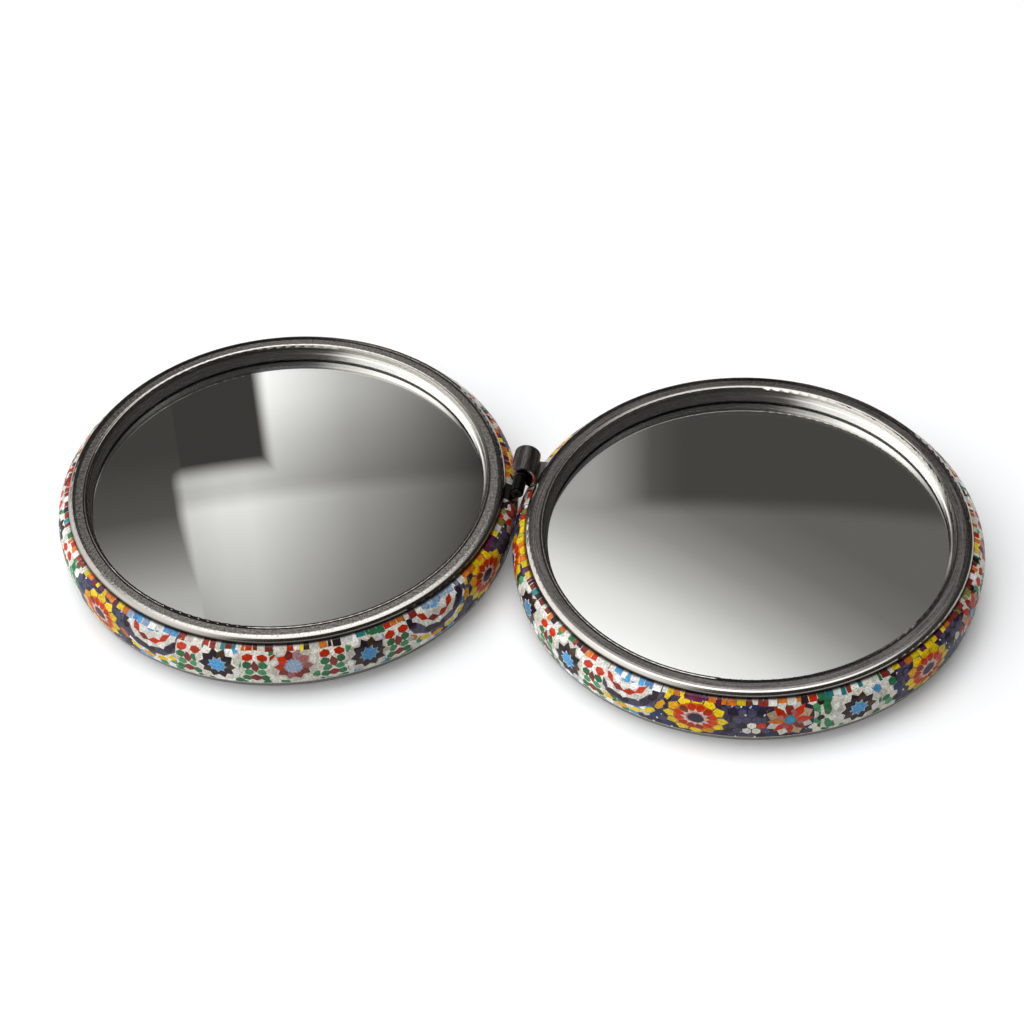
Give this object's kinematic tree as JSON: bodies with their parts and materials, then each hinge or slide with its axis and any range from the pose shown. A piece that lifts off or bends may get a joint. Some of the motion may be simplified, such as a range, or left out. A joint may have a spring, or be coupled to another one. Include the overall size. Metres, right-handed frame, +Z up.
{
  "type": "compact mirror",
  "caption": "Folding round compact mirror: hinged mosaic-wrapped cases, each with a recessed mirror in a dark metal ring, shown open flat.",
  "frame": {"origin": "on the surface that both cases lie on, below the hinge line, midway between the two cases", "axes": "+Z up out of the mirrors, +X from the lid's centre to the base's centre, +Y along the hinge pin towards the hinge barrel"},
  "size_m": [0.1402, 0.07, 0.0116],
  "materials": {
    "mosaic_film": "printed tile mosaic under clear gloss film",
    "tinplate": "bright drawn tinplate",
    "core_plastic": "moulded, unpolished",
    "foam": "closed-cell adhesive foam",
    "mirror_glass": "silvered float glass",
    "tape": "double-sided adhesive tape",
    "gunmetal": "gunmetal plating, brushed and worn bright on the edges",
    "magnet": "nickel-plated",
    "hinge_steel": "blackened sheet steel",
    "rivet_steel": "plain steel"
  },
  "bodies": {
    "base": {"mosaic_wrap_base": "mosaic_film", "case_shell_base": "tinplate", "core_base": "core_plastic", "mirror_pad_base": "foam", "mirror_base": "mirror_glass", "bezel_tape_base": "tape", "bezel_base": "gunmetal", "magnets_base": "magnet", "leaf_base": "hinge_steel", "hinge_hood": "gunmetal", "rivets_base": "rivet_steel", "hinge_pin": "rivet_steel", "hinge_washer": "rivet_steel"},
    "lid": {"mosaic_wrap_lid": "mosaic_film", "case_shell_lid": "tinplate", "core_lid": "core_plastic", "mirror_pad_lid": "foam", "mirror_lid": "mirror_glass", "bezel_tape_lid": "tape", "bezel_lid": "gunmetal", "magnets_lid": "magnet", "leaf_lid": "hinge_steel", "rivets_lid": "rivet_steel"}
  },
  "joints": [
    {"name": "lid_hinge", "type": "hinge", "parent": "base", "child": "lid", "pos_m": [0, 0, 0.00965], "axis": [0, 1, 0], "range_deg": [0, 180]}
  ]
}
